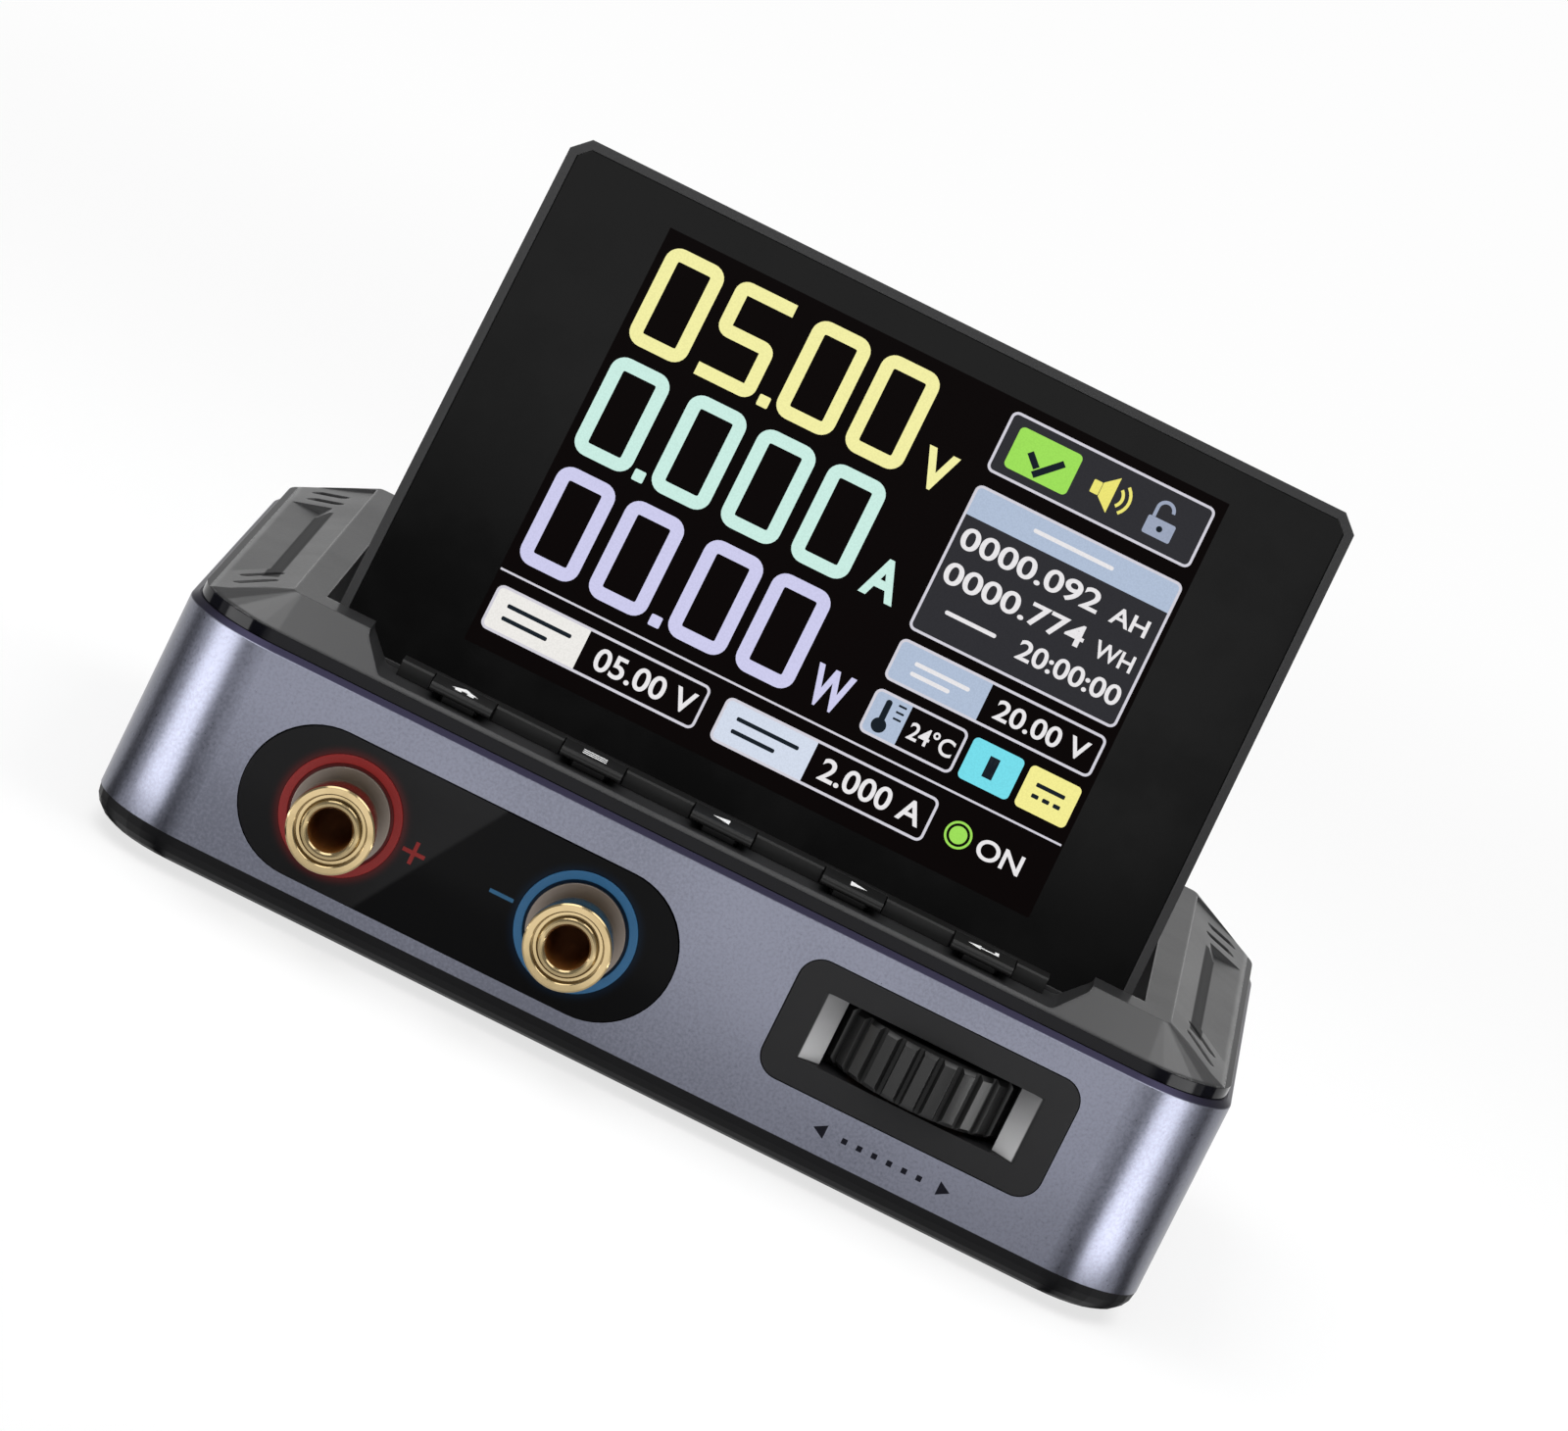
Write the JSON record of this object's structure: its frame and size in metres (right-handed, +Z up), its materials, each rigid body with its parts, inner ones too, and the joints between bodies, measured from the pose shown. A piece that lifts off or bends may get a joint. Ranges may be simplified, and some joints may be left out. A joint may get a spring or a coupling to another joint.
{
  "type": "laboratory power supply",
  "caption": "Compact bench DC power supply: low aluminium case, banana sockets, thumb wheel, key row and a display that folds up from the lid.",
  "frame": {"origin": "middle of the bounding box's underside, on the plane of the rubber feet", "axes": "+X to the right seen from the front, along the width; +Y from the front with the sockets to the back; +Z up"},
  "size_m": [0.106, 0.084, 0.074],
  "materials": {
    "anodised_aluminium": "bead-blasted and anodised blue-grey",
    "case_plastic": "satin moulded plastic",
    "floor_plastic": "satin moulded plastic",
    "gloss_trim": "polished",
    "terminal_gloss": "polished",
    "wheel_plate_plastic": "satin moulded plastic",
    "wheel_rubber": "satin",
    "key_plastic": "satin moulded plastic",
    "foot_rubber": "matt",
    "red_plastic": "satin",
    "blue_plastic": "satin",
    "brass": "turned and gold plated",
    "washer_steel": "turned",
    "steel": "bright",
    "black_plastic": "satin moulded plastic",
    "display_plastic": "satin moulded plastic",
    "display_glass": "black bordered cover glass",
    "screen_metal": "thin sheet",
    "circuit_board": "solder resist",
    "sink_aluminium": "extruded",
    "ferrite": "pressed powder",
    "capacitor_sleeve": "can with sleeve",
    "copper": "rolled strip",
    "white_plastic": "low-friction moulded plastic"
  },
  "bodies": {
    "case": {"aluminium_frame": "anodised_aluminium", "bottom_cover": "floor_plastic", "rubber_feet": "foot_rubber", "case_screws": "steel", "trim_ring": "gloss_trim", "top_cover": "case_plastic", "hinge_pins": "steel", "friction_washers": "washer_steel", "button_strip": "key_plastic", "button_board": "circuit_board", "button_switches": "steel", "terminal_plate": "terminal_gloss", "red_ring": "red_plastic", "blue_ring": "blue_plastic", "positive_jack": "brass", "negative_jack": "brass", "jack_washers": "washer_steel", "jack_nuts": "brass", "wheel_plate": "wheel_plate_plastic", "wheel_guide": "black_plastic", "wheel_switch": "steel", "main_board": "circuit_board", "board_screws": "steel", "heat_sink": "sink_aluminium", "power_transistors": "black_plastic", "power_inductor": "ferrite", "capacitors": "capacitor_sleeve", "current_shunt": "copper", "control_chips": "black_plastic", "buzzer": "black_plastic", "rear_panel": "black_plastic", "fan_frame": "black_plastic", "fan_screws": "steel", "dc_jack": "black_plastic", "usb_c_socket": "steel", "micro_usb_socket": "steel"},
    "display": {"display_housing": "display_plastic", "display_glass": "display_glass", "lcd_panel": "screen_metal", "display_board": "circuit_board", "display_back": "display_plastic", "display_screws": "steel"},
    "carriage": {"wheel_carriage": "white_plastic", "wheel_axle": "steel", "encoder_ring": "copper"},
    "thumb_wheel": {"thumb_wheel": "wheel_rubber"},
    "fan": {"fan_rotor": "black_plastic"},
    "home_key": {"home_key": "key_plastic"},
    "menu_key": {"menu_key": "key_plastic"},
    "left_key": {"left_key": "key_plastic"},
    "right_key": {"right_key": "key_plastic"},
    "confirm_key": {"confirm_key": "key_plastic"}
  },
  "joints": [
    {"name": "display_tilt", "type": "hinge", "parent": "case", "child": "display", "pos_m": [0, -0.02167, 0.024], "axis": [1, 0, 0], "range_deg": [-68.5, 0]},
    {"name": "wheel_press", "type": "slide", "parent": "case", "child": "carriage", "axis": [0, 1, 0], "range_m": [0, 0.0006], "stiffness_N_per_m": 500},
    {"name": "wheel_spin", "type": "hinge", "parent": "carriage", "child": "thumb_wheel", "pos_m": [0.0262, -0.02618, 0.0142], "axis": [0, 0, 1], "continuous": true},
    {"name": "fan_spin", "type": "hinge", "parent": "case", "child": "fan", "pos_m": [0.024, 0.03583, 0.0128], "axis": [0, 1, 0], "continuous": true},
    {"name": "home_key_press", "type": "slide", "parent": "case", "child": "home_key", "axis": [0, 0, -1], "range_m": [0, 0.0004], "stiffness_N_per_m": 600},
    {"name": "menu_key_press", "type": "slide", "parent": "case", "child": "menu_key", "axis": [0, 0, -1], "range_m": [0, 0.0004], "stiffness_N_per_m": 600},
    {"name": "left_key_press", "type": "slide", "parent": "case", "child": "left_key", "axis": [0, 0, -1], "range_m": [0, 0.0004], "stiffness_N_per_m": 600},
    {"name": "right_key_press", "type": "slide", "parent": "case", "child": "right_key", "axis": [0, 0, -1], "range_m": [0, 0.0004], "stiffness_N_per_m": 600},
    {"name": "confirm_key_press", "type": "slide", "parent": "case", "child": "confirm_key", "axis": [0, 0, -1], "range_m": [0, 0.0004], "stiffness_N_per_m": 600}
  ]
}
